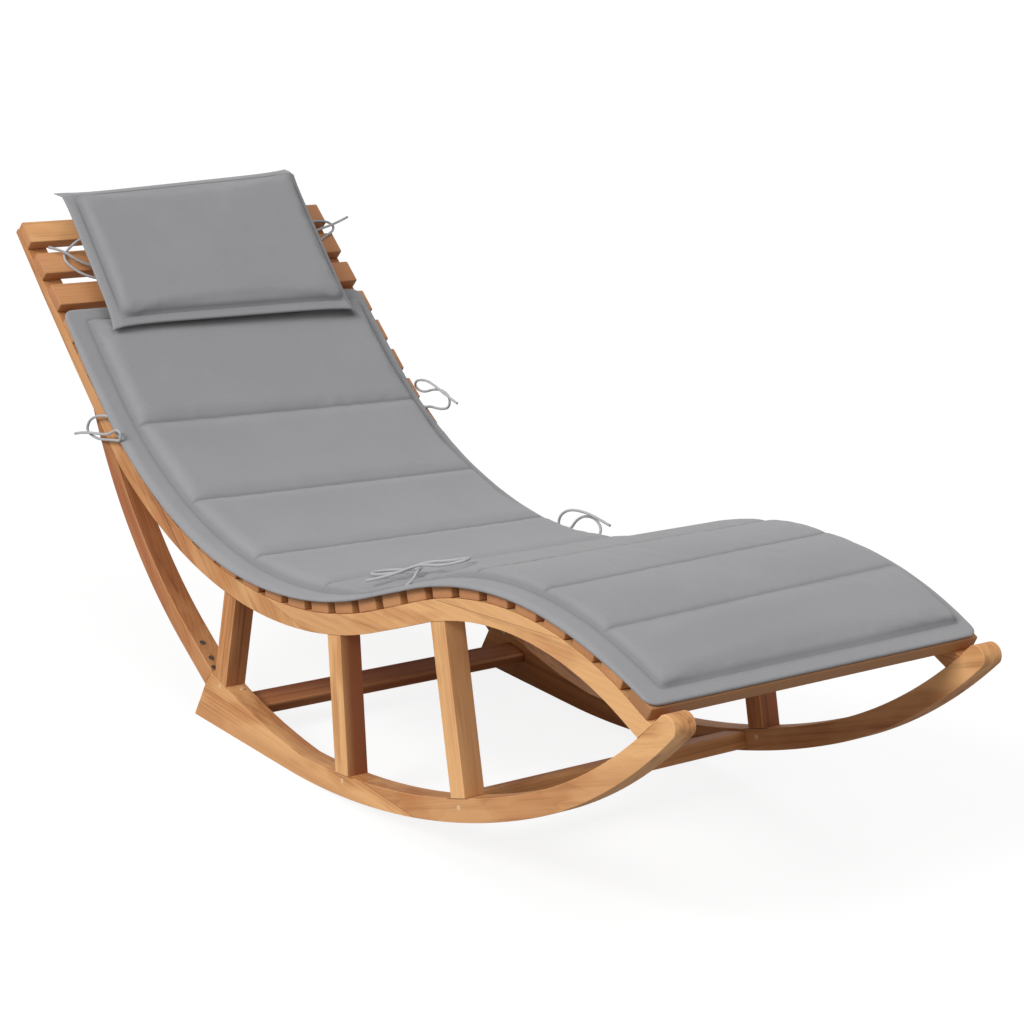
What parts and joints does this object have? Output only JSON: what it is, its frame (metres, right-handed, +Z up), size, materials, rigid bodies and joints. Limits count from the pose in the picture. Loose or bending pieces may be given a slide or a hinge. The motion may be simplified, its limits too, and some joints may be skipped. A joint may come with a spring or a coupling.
{
  "type": "rocking chaise lounge",
  "caption": "Slatted hardwood rocking chaise lounge on two curved runners, with a quilted grey mat and a tied-on head pillow.",
  "frame": {"origin": "middle of the chair's box at floor level, with the chair standing on the flats at the rear of its runners", "axes": "+X from the head end towards the foot, +Y across the chair, +Z up"},
  "size_m": [1.7403, 0.6552, 0.7427],
  "materials": {
    "slat_teak": "oiled",
    "frame_teak": "oiled",
    "dowel_wood": "end grain",
    "cushion_cloth": "smooth woven polyester",
    "screw_steel": "tarnished",
    "tie_cloth": "woven polyester tape"
  },
  "bodies": {
    "root": {"crossbar_front": "frame_teak", "crossbar_rear": "frame_teak", "dowel_pins": "dowel_wood", "head_pillow": "cushion_cloth", "leg_far": "frame_teak", "leg_near": "frame_teak", "mat_cushion": "cushion_cloth", "post_far_front": "frame_teak", "post_far_middle": "frame_teak", "post_far_rear": "frame_teak", "post_near_front": "frame_teak", "post_near_middle": "frame_teak", "post_near_rear": "frame_teak", "rail_far_back": "frame_teak", "rail_far_knee_block": "frame_teak", "rail_far_seat": "frame_teak", "rail_near_back": "frame_teak", "rail_near_knee_block": "frame_teak", "rail_near_seat": "frame_teak", "runner_far_heel": "frame_teak", "runner_far_toe": "frame_teak", "runner_near_heel": "frame_teak", "runner_near_toe": "frame_teak", "slat_01": "slat_teak", "slat_02": "slat_teak", "slat_03": "slat_teak", "slat_04": "slat_teak", "slat_05": "slat_teak", "slat_06": "slat_teak", "slat_07": "slat_teak", "slat_08": "slat_teak", "slat_09": "slat_teak", "slat_10": "slat_teak", "slat_11": "slat_teak", "slat_12": "slat_teak", "slat_13": "slat_teak", "slat_14": "slat_teak", "slat_15": "slat_teak", "slat_16": "slat_teak", "slat_17": "slat_teak", "slat_18": "slat_teak", "slat_19": "slat_teak", "slat_20": "slat_teak", "slat_21": "slat_teak", "slat_22": "slat_teak", "slat_23": "slat_teak", "slat_24": "slat_teak", "slat_25": "slat_teak", "slat_26": "slat_teak", "slat_27": "slat_teak", "slat_28": "slat_teak", "slat_29": "slat_teak", "tie_mat_head_far": "tie_cloth", "tie_mat_head_near": "tie_cloth", "tie_mat_middle_far": "tie_cloth", "tie_mat_middle_near": "tie_cloth", "tie_pillow_far": "tie_cloth", "tie_pillow_near": "tie_cloth"}
  },
  "joints": []
}
